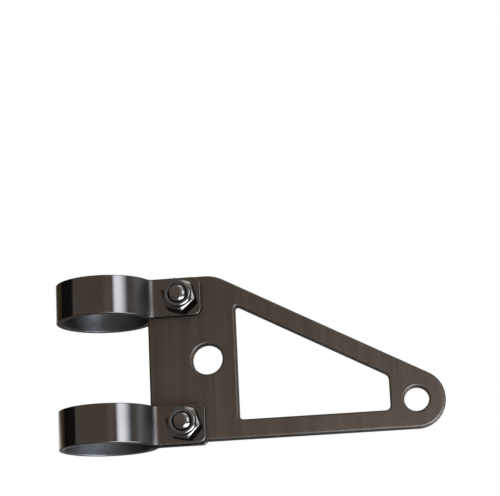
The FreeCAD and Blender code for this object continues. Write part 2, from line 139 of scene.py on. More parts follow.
def new_finish(name):
    """A new material with its node tree, its shader and a Texture Coordinate node."""
    finish = bpy.data.materials.new(name)
    finish.use_nodes = True
    nodes = finish.node_tree.nodes
    place = nodes.new("ShaderNodeTexCoord")
    return finish, finish.node_tree, nodes["Principled BSDF"], place


def stretched_noise(tree, place, stretch, detail):
    """A noise in object space, finer along the axes with the larger stretch."""
    mapping = tree.nodes.new("ShaderNodeMapping")
    mapping.inputs["Scale"].default_value = stretch
    noise = tree.nodes.new("ShaderNodeTexNoise")
    noise.inputs["Scale"].default_value = 1.0
    noise.inputs["Detail"].default_value = detail
    noise.inputs["Roughness"].default_value = NOISE_ROUGHNESS
    tree.links.new(place.outputs["Object"], mapping.inputs["Vector"])
    tree.links.new(mapping.outputs["Vector"], noise.inputs["Vector"])
    return noise.outputs["Fac"]


def spread(tree, value, low, high, start=NOISE_LOW, end=NOISE_HIGH):
    """The value, taken from start..end to low..high. Nearly all of a noise lies between the two defaults."""
    remap = tree.nodes.new("ShaderNodeMapRange")
    remap.inputs["From Min"].default_value = start
    remap.inputs["From Max"].default_value = end
    remap.inputs["To Min"].default_value = low
    remap.inputs["To Max"].default_value = high
    tree.links.new(value, remap.inputs["Value"])
    return remap.outputs["Result"]


def two_tones(tree, noise, dark, light):
    """A colour ramp that takes a noise to a colour between two tones."""
    ramp = tree.nodes.new("ShaderNodeValToRGB")
    ramp.color_ramp.elements[0].position = NOISE_LOW
    ramp.color_ramp.elements[0].color = (*dark, 1)
    ramp.color_ramp.elements[1].position = NOISE_HIGH
    ramp.color_ramp.elements[1].color = (*light, 1)
    tree.links.new(noise, ramp.inputs["Fac"])
    return ramp.outputs["Color"]


def bump(tree, value, strength, depth):
    """A shallow relief from the value."""
    relief = tree.nodes.new("ShaderNodeBump")
    relief.inputs["Strength"].default_value = strength
    relief.inputs["Distance"].default_value = depth
    tree.links.new(value, relief.inputs["Height"])
    return relief.outputs["Normal"]


# %% Brushed plate
EDGE_TINT = (0.40, 0.38, 0.36, 1)
BRUSH_MARKS, BRUSH_SHADES = (1500, 1500, 25), (220, 220, 6)


def brushed_plating(name, dark, light, smooth, dull):
    """Metal with upright brush marks, between two tones and two values of roughness."""
    finish, tree, shader, place = new_finish(name)
    fine = stretched_noise(tree, place, BRUSH_MARKS, detail=5)
    broad = stretched_noise(tree, place, BRUSH_SHADES, detail=3)
    tree.links.new(two_tones(tree, broad, dark, light), shader.inputs["Base Color"])
    tree.links.new(spread(tree, fine, smooth, dull), shader.inputs["Roughness"])
    tree.links.new(bump(tree, fine, strength=0.12, depth=0.03 * MM), shader.inputs["Normal"])
    shader.inputs["Metallic"].default_value = 1.0
    shader.inputs["Specular Tint"].default_value = EDGE_TINT
    print("finish", name)
    return finish


# The dark tones of both plate finishes are painted shade, for a dim room mirrored by the plating; the eased edge
# gets a darker, rougher copy.
plate_face = brushed_plating("plate_face", (0.0335, 0.026, 0.0195), (0.0445, 0.0345, 0.0262), 0.38, 0.48)
plate_edge = brushed_plating("plate_edge", (0.026, 0.0215, 0.018), (0.033, 0.028, 0.0235), 0.46, 0.56)

# %% [markdown]
# ## Chrome, with painted shade in its colour
#
# The bands are polished chrome, given a dark base colour and a metallic value of 1, so that the mirror gives back
# only a small part of the light. That dark base colour is painted shade: it stands in for the dim room that the
# chrome mirrors, as the room here is white. Its light and dark stripes could be painted on, but a true mirror shows
# them in the right place from every side. The edge tint of the plate keeps the rims, which are seen at a grazing
# angle, from turning white. A faint, cloudy change of roughness keeps the mirror from looking like a drawing, as
# handling leaves it slightly uneven. Where the ring turns into the neck, a polishing wheel hardly reaches, so the
# roughness rises there along X.

# %% Helpers for soft limits
def axes_of(tree, place):
    """The object coordinates, as one output for each axis."""
    parts = tree.nodes.new("ShaderNodeSeparateXYZ")
    tree.links.new(place.outputs["Object"], parts.inputs["Vector"])
    return parts.outputs


def combine(tree, operation, first, second):
    """A Math node for two values, of which the second may be a plain number."""
    node = tree.nodes.new("ShaderNodeMath")
    node.operation = operation
    tree.links.new(first, node.inputs[0])
    if isinstance(second, float):
        node.inputs[1].default_value = second
    else:
        tree.links.new(second, node.inputs[1])
    return node.outputs["Value"]


def fade(tree, value, edge, full):
    """0 at the edge and beyond, rising softly to 1 at full."""
    ramp = tree.nodes.new("ShaderNodeMapRange")
    ramp.interpolation_type = "SMOOTHSTEP"
    ramp.inputs["From Min"].default_value = edge
    ramp.inputs["From Max"].default_value = full
    tree.links.new(value, ramp.inputs["Value"])
    return ramp.outputs["Result"]


def between(tree, value, low, low_fade, high, high_fade):
    """1 between two limits, falling softly to 0 at each of them."""
    rise = fade(tree, value, low, low + low_fade)
    fall = fade(tree, value, high, high - high_fade)
    return combine(tree, "MULTIPLY", rise, fall)


# %% Polished bands and fasteners
NECK_START, NECK_END, NECK_FADE = 13.2 * MM, 24 * MM, 3.2 * MM
NECK_DULLNESS = 0.38
CLOUDS = (90, 90, 90)
BAND_GRAIN, BOLT_GRAIN = (60, 60, 1600), (900, 120, 900)


def dull_at_neck(tree, place, roughness, more):
    """The roughness, raised where the ring turns into the neck."""
    at_neck = between(tree, axes_of(tree, place)["X"], NECK_START, NECK_FADE, NECK_END, NECK_FADE)
    return combine(tree, "ADD", roughness, combine(tree, "MULTIPLY", at_neck, more))


def chrome_in_painted_shade(name, dark, light, smooth, dull, grain, neck=0.0):
    """A mirror between two dark tones, which are painted shade, and two values of roughness, which may be duller at
    the neck.
    """
    finish, tree, shader, place = new_finish(name)
    clouds = stretched_noise(tree, place, CLOUDS, detail=4)
    lines = stretched_noise(tree, place, grain, detail=3)
    tree.links.new(two_tones(tree, clouds, dark, light), shader.inputs["Base Color"])
    roughness = spread(tree, clouds, smooth, dull)
    if neck:
        roughness = dull_at_neck(tree, place, roughness, neck)
    tree.links.new(roughness, shader.inputs["Roughness"])
    tree.links.new(bump(tree, lines, strength=0.05, depth=0.02 * MM), shader.inputs["Normal"])
    shader.inputs["Metallic"].default_value = 1.0
    shader.inputs["Specular Tint"].default_value = EDGE_TINT
    print("finish", name)
    return finish


# The dark tones of every chrome finish here are painted shade, for the dim room that the mirror shows.
band_chrome = chrome_in_painted_shade("band_chrome", (0.048, 0.042, 0.038), (0.056, 0.049, 0.044), 0.05, 0.10, BAND_GRAIN,
                          neck=NECK_DULLNESS)
# The rims' tones are darker than the band's: more painted shade, which dims their reflection.
band_rim_painted_shade = chrome_in_painted_shade("band_rim_painted_shade", (0.034, 0.030, 0.027), (0.042, 0.037, 0.033), 0.26, 0.36, BAND_GRAIN)
band_inside = chrome_in_painted_shade("band_inside", (0.055, 0.055, 0.054), (0.074, 0.074, 0.073), 0.34, 0.44, BAND_GRAIN)
bolt_chrome = chrome_in_painted_shade("bolt_chrome", (0.056, 0.050, 0.044), (0.074, 0.066, 0.059), 0.13, 0.21, BOLT_GRAIN)

# %% [markdown]
# ## Black plastic
#
# The lock ring in each nut is a dull plastic. It isn't a metal, so it has a diffuse colour. One plain black would
# look like a hole, so a fine grain changes the colour a little and makes the gloss soft.

# %% Lock ring finish
PLASTIC_GRAIN = (2500, 2500, 2500)
insert_plastic, tree, shader, place = new_finish("insert_plastic")
grain = stretched_noise(tree, place, PLASTIC_GRAIN, detail=3)
tree.links.new(two_tones(tree, grain, (0.010, 0.010, 0.010), (0.020, 0.019, 0.019)), shader.inputs["Base Color"])
tree.links.new(spread(tree, grain, low=0.45, high=0.6), shader.inputs["Roughness"])
tree.links.new(bump(tree, grain, strength=0.15, depth=0.05 * MM), shader.inputs["Normal"])
print("finish insert_plastic")

# %% [markdown]
# ## Finishing a piece
#
# Each piece ends in the same way. Doubled vertices are merged, the normals are turned outwards, and only the edges
# between faces that meet at a clear angle are kept sharp, so that round walls shade smoothly. Where an eased edge
# meets a flat face, the border is kept sharp too. Otherwise the shading of the narrow round would spread over the
# whole face, and a polished wall would reflect as if it bulged.

# %% Helpers that end each piece
NEAR = 1e-6


def crisp_border(faces):
    """Keeps the border of a patch of faces sharp, so that the faces beside it shade as the flats they are."""
    patch = set(faces)
    for edge in {edge for face in patch for edge in face.edges}:
        if any(face not in patch for face in edge.link_faces):
            edge.smooth = False


def finish_faces(faces, index):
    """Gives faces the finish with this number in the piece's list."""
    for face in faces:
        face.material_index = index


def mesh_from(bm, name, *finishes):
    """Makes a bmesh a mesh that carries these finishes."""
    mesh = bpy.data.meshes.new(name)
    bm.to_mesh(mesh)
    bm.free()
    for finish in finishes:
        mesh.materials.append(finish)
    return mesh


def end_piece(bm, name, finishes, node, sharp=32):
    """Cleans up a piece, and lets it take the place of its solid."""
    bmesh.ops.remove_doubles(bm, verts=bm.verts, dist=NEAR)
    bmesh.ops.recalc_face_normals(bm, faces=bm.faces)
    for face in bm.faces:
        face.smooth = True
    for edge in bm.edges:
        edge.smooth = edge.smooth and edge.is_manifold and edge.calc_face_angle(0) < radians(sharp)
    loose = sum(not edge.is_manifold for edge in bm.edges)
    piece = add_object(name, mesh_from(bm, name, *finishes))
    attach(piece, "root")
    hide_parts(node)
    low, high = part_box(node)
    over = max(max(low[n] - corner[n], corner[n] - high[n]) for corner in piece.bound_box for n in range(3))
    print(f"{name}: {len(piece.data.polygons)} faces, {loose} open edges, {1000 * over:.3f} mm outside its solid")


# %% [markdown]
# ## The plate
#
# The plate is cut from sheet. Its outline is drawn as one chain of edges: a vertex is swung round the shoulder, run
# down the slope, swung round the tip and run back along the bottom. A box with booleans would also work, but a
# drawn outline keeps the tangent rounds exact.

# %% Helpers that draw outlines
Y_AXIS, Z_AXIS = (0, 1, 0), (0, 0, 1)
LIE_IN_PLATE = Matrix.Rotation(radians(90), 4, "X")


def of_kind(parts, kind):
    """The vertices, edges or faces among the parts that an operator has made."""
    return [part for part in parts if isinstance(part, kind)]


def arc_on(bm, vert, centre, angle, steps):
    """Swings a vertex in the plane of the plate, leaving a chain of edges, and gives the last vertex."""
    made = bmesh.ops.spin(bm, geom=[vert], cent=centre, axis=Y_AXIS, angle=angle, steps=steps, use_duplicate=False)
    return of_kind(made["geom_last"], BMVert)[0]


def run_on(bm, vert, place):
    """Draws a straight edge from a vertex to a place, and gives the new vertex."""
    made = bmesh.ops.extrude_vert_indiv(bm, verts=[vert])
    made["verts"][0].co = place
    return made["verts"][0]


def chain(bm, places):
    """Draws a chain of edges from place to place, and gives its vertices."""
    verts = [bm.verts.new(places[0])]
    for place in places[1:]:
        verts.append(run_on(bm, verts[-1], place))
    return verts


def round_corners(bm, corners, reach, steps):
    """Rounds corners of an outline, from this far before each corner to this far behind it."""
    bmesh.ops.bevel(bm, geom=corners, offset=reach, segments=steps, profile=0.5, affect="VERTICES", material=-1)


# %% Outline of the plate
PLATE_CORNER = 1.5 * MM
tip_from_shoulder = TIP - SHOULDER
apart = hypot(tip_from_shoulder.x, tip_from_shoulder.z)
slope_square = atan2(tip_from_shoulder.z, tip_from_shoulder.x) + acos((SHOULDER_RADIUS - TIP_RADIUS) / apart)
slope_normal = Vector((cos(slope_square), 0, sin(slope_square)))
slope_angle = pi / 2 - slope_square

bm = bmesh.new()
start = bm.verts.new(SHOULDER + Vector((0, 0, SHOULDER_RADIUS)))
vert = arc_on(bm, start, SHOULDER, slope_angle, steps=10)
vert = run_on(bm, vert, TIP + TIP_RADIUS * slope_normal)
vert = arc_on(bm, vert, TIP, pi - slope_angle, steps=48)
low_corner = run_on(bm, vert, (PLATE_LEFT, 0, PLATE_BOTTOM))
high_corner = run_on(bm, low_corner, (PLATE_LEFT, 0, PLATE_TOP))
bm.edges.new((high_corner, start))
round_corners(bm, [low_corner, high_corner], PLATE_CORNER, steps=6)
print("plate outline:", len(bm.edges), "edges")

# %% [markdown]
# The window leaves bars of even width along the slope and the bottom, so its upper edge runs parallel to the slope.
# The window and the holes are more closed chains inside the outline. They could be cut out later, but a triangle
# fill of all chains at once leaves them open.

# %% Window and holes of the plate
WINDOW_LEFT, WINDOW_RIGHT, WINDOW_CORNER = 56.2 * MM, 119.7 * MM, 2 * MM
BOTTOM_BAR, SLOPE_BAR = 8 * MM, 7.8 * MM
CENTRE_HOLE_X, CENTRE_HOLE_RADIUS, TIP_HOLE_RADIUS = 43.7 * MM, 6.5 * MM, 5.2 * MM
BOLT_HOLE_STEPS = 48
window_bottom = PLATE_BOTTOM + BOTTOM_BAR
window_reach = slope_normal.dot(TIP) + TIP_RADIUS - SLOPE_BAR


def under_slope(x):
    """The place on the window's upper edge at an x."""
    return x, 0, (window_reach - slope_normal.x * x) / slope_normal.z


def hole_in(bm, x, z, radius, steps):
    """A circle of edges in the plane of the plate."""
    there = Matrix.Translation((x, 0, z)) @ LIE_IN_PLATE
    bmesh.ops.create_circle(bm, cap_ends=False, segments=steps, radius=radius, matrix=there)


def fill_outline(bm):
    """Fills the outline with triangles that face the nuts' side, and leaves the chains inside it open."""
    bmesh.ops.triangle_fill(bm, use_beauty=True, use_dissolve=False, edges=bm.edges[:], normal=(0, -1, 0))


window = chain(bm, [under_slope(WINDOW_LEFT), (WINDOW_LEFT, 0, window_bottom), (WINDOW_RIGHT, 0, window_bottom),
                    under_slope(WINDOW_RIGHT)])
bm.edges.new((window[-1], window[0]))
round_corners(bm, window, WINDOW_CORNER, steps=8)
hole_in(bm, CENTRE_HOLE_X, 0, CENTRE_HOLE_RADIUS, steps=72)
hole_in(bm, TIP.x, TIP.z, TIP_HOLE_RADIUS, steps=64)
for height in (CLAMP_HEIGHT, -CLAMP_HEIGHT):
    hole_in(bm, BOLT_X, height, BOLT_HOLE_RADIUS, BOLT_HOLE_STEPS)
fill_outline(bm)
print("plate with its window and holes:", len(bm.edges), "edges,", len(bm.faces), "triangles")

# %% [markdown]
# The flat outline is extruded to the height of the side walls. The eased edge is then made by insetting each face a
# little and lifting it, a few times over, so that its section follows a quarter round. The edge bevel tool would
# meet the long triangles of the fill, and an inset leaves those inside the face.

# %% Thickness and eased edges
EASE, EASE_STEPS = 0.8 * MM, 3
PLATE_EDGE = 1
face_y = PLATE_THICKNESS / 2 - EASE
bmesh.ops.translate(bm, verts=bm.verts, vec=(0, -face_y, 0))
front = bm.faces[:]
made = bmesh.ops.extrude_face_region(bm, geom=front)["geom"]
back = of_kind(made, BMFace)
bmesh.ops.translate(bm, verts=of_kind(made, BMVert), vec=(0, 2 * face_y, 0))
bmesh.ops.recalc_face_normals(bm, faces=bm.faces)
angles = [pi / 2 * step / EASE_STEPS for step in range(EASE_STEPS + 1)]
for side in (front, back):
    eased = []
    for first, last in zip(angles, angles[1:]):
        eased += bmesh.ops.inset_region(bm, faces=side, use_even_offset=True, use_boundary=True,
                                        thickness=EASE * (cos(first) - cos(last)),
                                        depth=EASE * (sin(last) - sin(first)))["faces"]
    crisp_border(eased)
    finish_faces(eased, PLATE_EDGE)
end_piece(bm, "satin_plate", (plate_face, plate_edge), "bracket_plate")

# %% [markdown]
# ## The clamp bands
#
# A band is one strip of metal. It starts flat as an ear on the plate, bends outwards at the neck, runs round the
# tube and comes back to the second ear. A curve with a flat section could follow that path, but the ear needs a hole
# and round corners. So only half is drawn: the ear is filled flat, and the edge where it ends is swung first round
# the neck and then round the tube, as the strip is really bent.

# %% Bent strip
EAR_CORNER = 3 * MM
NECK_STEPS, RING_STEPS = 24, 84
neck_y = EAR_FACE + NECK_RADIUS
neck_x = sqrt((TUBE_RADIUS + BAND_THICKNESS + NECK_RADIUS) ** 2 - neck_y ** 2)
neck_lean = atan2(neck_y, neck_x)


def half_strip():
    """The inner surface of one ear, its neck and half of the ring, for a clamp at z = 0."""
    bm = bmesh.new()
    half = BAND_WIDTH / 2
    verts = chain(bm, [(neck_x, 0, -half), (EAR_END, 0, -half), (EAR_END, 0, half), (neck_x, 0, half)])
    bm.edges.new((verts[3], verts[0]))
    round_corners(bm, verts[1:3], EAR_CORNER, steps=8)
    hole_in(bm, BOLT_X, 0, BOLT_HOLE_RADIUS, BOLT_HOLE_STEPS)
    fill_outline(bm)
    bmesh.ops.translate(bm, verts=bm.verts, vec=(0, -PLATE_THICKNESS / 2, 0))
    ends = [vert for vert in bm.verts if abs(vert.co.x - neck_x) < NEAR]
    edge = next(edge for edge in bm.edges if set(edge.verts) == set(ends))
    geometry = [*ends, edge]
    for centre, angle, steps in (((neck_x, -neck_y, 0), pi / 2 - neck_lean, NECK_STEPS),
                                 ((0, 0, 0), neck_lean - pi, RING_STEPS)):
        made = bmesh.ops.spin(bm, geom=geometry, cent=centre, axis=Z_AXIS, angle=angle, steps=steps)
        geometry = made["geom_last"]
    return bm


print("neck", round(1000 * neck_x, 1), "mm from the tube's axis")

# %% [markdown]
# A mirror gives the other half, solidify gives the strip its thickness, and a bevel rounds the edges that a polisher
# would touch. The faces that grip the tube get the duller finish, because a polishing wheel doesn't reach into a
# closed ring. The eased rims get a satin one, because a mirror that narrow would glitter at every angle, and a tone
# darker than the band's, which is painted shade that dims their reflection.

# %% Clamp bands
BAND_EASE, GRIP_MARGIN = 0.35 * MM, 0.1 * MM
BRIM_ANGLE = radians(60)
BAND_INSIDE, BAND_RIM = 1, 2


def ease_edges(bm, edges, size, steps):
    """Rounds edges, keeps the borders of the rounds crisp, and gives the new faces."""
    eased = bmesh.ops.bevel(bm, geom=edges, offset=size, offset_type="OFFSET", segments=steps, profile=0.5,
                            affect="EDGES", material=-1)["faces"]
    crisp_border(eased)
    return eased


def bent_band(name, node, height):
    """One whole band, raised to its clamp."""
    bm = half_strip()
    bmesh.ops.mirror(bm, geom=bm.verts[:] + bm.edges[:] + bm.faces[:], axis="Y", merge_dist=NEAR)
    bmesh.ops.remove_doubles(bm, verts=bm.verts, dist=NEAR)
    bmesh.ops.recalc_face_normals(bm, faces=bm.faces)
    bmesh.ops.solidify(bm, geom=bm.faces[:], thickness=-BAND_THICKNESS)
    bmesh.ops.recalc_face_normals(bm, faces=bm.faces)
    brims = [edge for edge in bm.edges if edge.is_manifold and edge.calc_face_angle(0) > BRIM_ANGLE]
    finish_faces(ease_edges(bm, brims, BAND_EASE, steps=4), BAND_RIM)
    gripping = [face for face in bm.faces if face.calc_center_median().xy.length < TUBE_RADIUS + GRIP_MARGIN]
    finish_faces(gripping, BAND_INSIDE)
    bmesh.ops.translate(bm, verts=bm.verts, vec=(0, 0, height))
    end_piece(bm, name, (band_chrome, band_inside, band_rim_painted_shade), node)


bent_band("upper_band", "upper_clamp_band", CLAMP_HEIGHT)
bent_band("lower_band", "lower_clamp_band", -CLAMP_HEIGHT)

# %% [markdown]
# ## Turned pieces
#
# Screws, nuts and rings are turned on a lathe, so they are modelled in the same way: half a section is drawn as a
# chain of edges, and a full spin about the screw's own axis makes the piece. Stacked cylinders would do for plain
# steps, but a section can have rounds too. It is given as pairs of a radius and a distance along Y, measured from
# the seat.

# %% Helpers for turned pieces
AROUND = 60


def evenly(first, last, steps):
    """Angles from first to last, in even steps."""
    return [first + (last - first) * n / steps for n in range(steps + 1)]


def turned(bm, section):
    """Spins a section about the Y axis."""
    verts = chain(bm, [(radius, along, 0) for radius, along in section])
    edges = [edge for edge in bm.edges if edge.verts[0] in verts and edge.verts[1] in verts]
    bmesh.ops.spin(bm, geom=verts + edges, cent=(0, 0, 0), axis=Y_AXIS, angle=2 * pi, steps=AROUND, use_merge=True)


def edge_loop(bm, radius, along):
    """The open edges of a turned piece at a radius and a distance along Y."""
    def there(vert):
        return abs(vert.co.xz.length - radius) < NEAR and abs(vert.co.y - along) < NEAR

    return [edge for edge in bm.edges if len(edge.link_faces) < 2 and all(there(vert) for vert in edge.verts)]


def hexagon_loop(bm, flats, along):
    """A hexagon with two corners along X, with as many vertices as a turned piece has around it."""
    there = Matrix.Translation((0, along, 0)) @ LIE_IN_PLATE @ Matrix.Rotation(pi / 6, 4, "Z")
    made = bmesh.ops.create_circle(bm, cap_ends=False, segments=6, radius=flats / 2 / cos(pi / 6), matrix=there)
    edges = list(dict.fromkeys(edge for vert in made["verts"] for edge in vert.link_edges))
    split = bmesh.ops.subdivide_edges(bm, edges=edges, cuts=AROUND // 6 - 1)
    return of_kind(split["geom"], BMEdge)


# %% [markdown]
# ## The screws
#
# The screw has a low domed head with a hexagon socket, and a rounded end that looks out of the nut. The dome is part
# of a sphere, so the points of its section lie on an arc about a point on the axis. The socket's rim is a hexagon
# that is bridged to the round flat of the head and extruded down.

# %% Head and end of the screw
HEAD_RADIUS, HEAD_HEIGHT, HEAD_RIM, HEAD_FLAT = 7 * MM, 4.4 * MM, 0.6 * MM, 3.8 * MM
HEAD_EDGE = 0.2 * MM
SOCKET_FLATS, SOCKET_DEPTH, SOCKET_POINT = 5 * MM, 2.6 * MM, 0.8 * MM
SCREW_RADIUS, SCREW_LENGTH = 4 * MM, 20 * MM
THREAD_ROOT, THREAD_START, THREAD_RUN_OUT = 3.35 * MM, 8 * MM, 0.4 * MM
POINT_FLAT, POINT_RADIUS, POINT_DEPTH, POINT_END = 0.6 * MM, 3.9 * MM, 1.7 * MM, 2.3 * MM
POINT_SLOPE, POINT_TURN = 0.5 * MM, radians(80)


def dome_section(steps):
    """Points along the dome, from the rim of the head to its flat."""
    gain = HEAD_HEIGHT ** 2 + HEAD_FLAT ** 2 - HEAD_RIM ** 2 - HEAD_RADIUS ** 2
    middle = gain / (2 * (HEAD_HEIGHT - HEAD_RIM))
    radius = hypot(HEAD_FLAT, HEAD_HEIGHT - middle)
    angles = evenly(atan2(HEAD_RIM - middle, HEAD_RADIUS), atan2(HEAD_HEIGHT - middle, HEAD_FLAT), steps)
    return [(radius * cos(angle), middle + radius * sin(angle)) for angle in angles]


def point_section(steps):
    """Points along the screw's rounded end, from its middle out to the root of the thread."""
    across = (POINT_RADIUS - POINT_FLAT) / sin(POINT_TURN)
    dome = [(POINT_FLAT + across * sin(angle), POINT_DEPTH * (1 - cos(angle)) - SCREW_LENGTH)
            for angle in evenly(0, POINT_TURN, steps)]
    root = POINT_END - SCREW_LENGTH
    return [*dome, (POINT_RADIUS, root - POINT_SLOPE), (THREAD_ROOT, root)]


def socket(bm):
    """Closes the head with a hexagon socket that has a drilled point at its bottom."""
    mouth = hexagon_loop(bm, SOCKET_FLATS, HEAD_HEIGHT)
    bmesh.ops.bridge_loops(bm, edges=edge_loop(bm, HEAD_FLAT, HEAD_HEIGHT) + mouth)
    walls = bmesh.ops.extrude_edge_only(bm, edges=mouth)["geom"]
    bmesh.ops.translate(bm, verts=of_kind(walls, BMVert), vec=(0, -SOCKET_DEPTH, 0))
    bottom = bmesh.ops.contextual_create(bm, geom=of_kind(walls, BMEdge))["faces"]
    point = bmesh.ops.poke(bm, faces=bottom)["verts"]
    bmesh.ops.translate(bm, verts=point, vec=(0, -SOCKET_POINT, 0))


print("screw head", round(2000 * HEAD_RADIUS, 1), "mm across, with a socket of", round(1000 * SOCKET_FLATS, 1), "mm")

# %% [markdown]
# The thread is a small ridge. A bump in the material could fake it, but here the ridge is made in the mesh.
# So the section of the ridge is spun round the shank with a step along the axis at each move, which makes a true
# helix.

# %% Screws
THREAD_PITCH, THREAD_SINK, THREAD_SHIFT = 1.25 * MM, 0.1 * MM, 0.3 * MM
THREAD_FOOT, THREAD_CREST = 0.5 * THREAD_PITCH, 0.08 * THREAD_PITCH
THREAD_STEPS = 36


def thread(bm):
    """Swings a section of the thread round the shank and along it at the same time."""
    turns = (SCREW_LENGTH - THREAD_START - POINT_END) / THREAD_PITCH
    steps = int(turns * THREAD_STEPS)
    foot = THREAD_ROOT - THREAD_SINK
    section = [(foot, -THREAD_FOOT), (SCREW_RADIUS, -THREAD_CREST), (SCREW_RADIUS, THREAD_CREST),
               (foot, THREAD_FOOT)]
    ridge = [bm.verts.new((radius, along - THREAD_START - THREAD_SHIFT, 0)) for radius, along in section]
    cut = bmesh.ops.contextual_create(bm, geom=ridge)["faces"]
    bmesh.ops.spin(bm, geom=ridge + cut[0].edges[:] + cut, cent=(0, 0, 0), axis=Y_AXIS, angle=2 * pi * turns,
                   dvec=(0, -turns * THREAD_PITCH / steps, 0), steps=steps)


def button_screw(name, node, height):
    """A screw with its head on the ear of the +Y side."""
    bm = bmesh.new()
    shank = [(0, -SCREW_LENGTH), *point_section(steps=8), (THREAD_ROOT, -THREAD_START - THREAD_RUN_OUT),
             (SCREW_RADIUS, -THREAD_START), (SCREW_RADIUS, 0)]
    head = [(HEAD_RADIUS - HEAD_EDGE, 0), (HEAD_RADIUS, HEAD_EDGE), *dome_section(steps=10)]
    turned(bm, shank + head)
    socket(bm)
    thread(bm)
    bmesh.ops.translate(bm, verts=bm.verts, vec=(BOLT_X, EAR_FACE, height))
    end_piece(bm, name, (bolt_chrome,), node)


button_screw("upper_screw", "upper_clamp_screw", CLAMP_HEIGHT)
button_screw("lower_screw", "lower_clamp_screw", -CLAMP_HEIGHT)

# %% [markdown]
# ## The locking nuts
#
# A locking nut is a hexagon with its corners turned off to a cone, and a thin round collar that is rolled over a
# plastic ring. A cone could be cut off with a boolean. Here the hexagon's two end loops are bent to the cone, by
# moving each vertex along the axis by its own distance from the middle, which leaves the curved edge that a turned
# hexagon really has. The collar and the bore are a turned section that is bridged to those loops. A small bevel
# rounds the outer edge of the hexagon, which would otherwise catch no light. A nut stops wherever it is tight, so
# each one is turned by its own angle.

# %% Nuts
NUT_FLATS, NUT_HEX_HEIGHT, NUT_HEIGHT = 13 * MM, 5.6 * MM, 8 * MM
NUT_EASE, NUT_SHARP = 0.25 * MM, 24
CONE_START, CONE_LEAN = NUT_FLATS / 2 - 0.5 * MM, radians(30)
COLLAR_RADIUS, COLLAR_ROUND, COLLAR_LEAN, COLLAR_FOOT = 5.8 * MM, 1.1 * MM, radians(50), 0.1 * MM
MOUTH_RADIUS, MOUTH_FLAT, MOUTH_EDGE = 4.7 * MM, 0.2 * MM, 0.05 * MM
INSERT_RADIUS, INSERT_START, INSERT_END = 5.2 * MM, 5 * MM, 7.3 * MM
BORE_RADIUS, BORE_EDGE = SCREW_RADIUS + 0.1 * MM, 0.5 * MM


def collar_section():
    """The nut's outside from the hexagon's cone over the rolled collar, then down the bore to the seat."""
    middle = (MOUTH_RADIUS + MOUTH_FLAT, COLLAR_ROUND - NUT_HEIGHT)
    rolled = [(middle[0] + COLLAR_ROUND * sin(angle), middle[1] - COLLAR_ROUND * cos(angle))
              for angle in evenly(COLLAR_LEAN, 0, steps=6)]
    slope_end = (COLLAR_RADIUS, rolled[0][1] + (COLLAR_RADIUS - rolled[0][0]) * tan(COLLAR_LEAN))
    outside = [(CONE_START, -NUT_HEX_HEIGHT), (COLLAR_RADIUS + COLLAR_FOOT, -NUT_HEX_HEIGHT), slope_end, *rolled]
    pocket = [(MOUTH_RADIUS, MOUTH_EDGE - NUT_HEIGHT), (MOUTH_RADIUS, -INSERT_END), (INSERT_RADIUS, -INSERT_END),
              (INSERT_RADIUS, -INSERT_START)]
    bore = [(BORE_RADIUS, -INSERT_START), (BORE_RADIUS, -BORE_EDGE), (BORE_RADIUS + BORE_EDGE, 0), (CONE_START, 0)]
    return outside + pocket + bore


def locking_nut(name, node, height, turned_by):
    """A nut on the ear of the -Y side."""
    bm = bmesh.new()
    turned(bm, collar_section())
    far_ring = edge_loop(bm, CONE_START, -NUT_HEX_HEIGHT)
    seat_ring = edge_loop(bm, CONE_START, 0)
    far = hexagon_loop(bm, NUT_FLATS, -NUT_HEX_HEIGHT)
    seat = hexagon_loop(bm, NUT_FLATS, 0)
    for loop, way in ((far, 1), (seat, -1)):
        for vert in {vert for edge in loop for vert in edge.verts}:
            beyond = hypot(vert.co.x, vert.co.z) - CONE_START
            vert.co.y += way * max(beyond, 0) * tan(CONE_LEAN)
    bmesh.ops.bridge_loops(bm, edges=far_ring + far)
    bmesh.ops.bridge_loops(bm, edges=seat_ring + seat)
    bmesh.ops.bridge_loops(bm, edges=far + seat)
    ease_edges(bm, far, NUT_EASE, steps=3)
    bmesh.ops.rotate(bm, verts=bm.verts, cent=(0, 0, 0), matrix=Matrix.Rotation(turned_by, 3, "Y"))
    bmesh.ops.translate(bm, verts=bm.verts, vec=(BOLT_X, -EAR_FACE, height))
    end_piece(bm, name, (bolt_chrome,), node, sharp=NUT_SHARP)


locking_nut("upper_nut", "upper_clamp_nut", CLAMP_HEIGHT, turned_by=radians(18))
locking_nut("lower_nut", "lower_clamp_nut", -CLAMP_HEIGHT, turned_by=radians(12))

# %% [markdown]
# ## The lock rings
#
# The plastic ring sits behind the mouth of the collar. Where the screw has gone through, its inner edge is pressed
# outwards. A torus would be too round, so the ring is turned from a square section with a rounded lip on the inside.

# %% Lock rings
LIP = 0.3 * MM


def lock_ring(name, node, height):
    """A ring in the pocket of a nut."""
    bm = bmesh.new()
    lip = [(BORE_RADIUS + LIP * (1 - sin(angle)), LIP * (1 - cos(angle)) - INSERT_END)
           for angle in evenly(0, pi / 2, steps=5)]
    corner = (INSERT_RADIUS, -INSERT_START)
    turned(bm, [corner, (INSERT_RADIUS, -INSERT_END), *lip, (BORE_RADIUS, -INSERT_START), corner])
    bmesh.ops.translate(bm, verts=bm.verts, vec=(BOLT_X, -EAR_FACE, height))
    end_piece(bm, name, (insert_plastic,), node)


lock_ring("upper_lock_ring", "upper_nut_insert", CLAMP_HEIGHT)
lock_ring("lower_lock_ring", "lower_nut_insert", -CLAMP_HEIGHT)
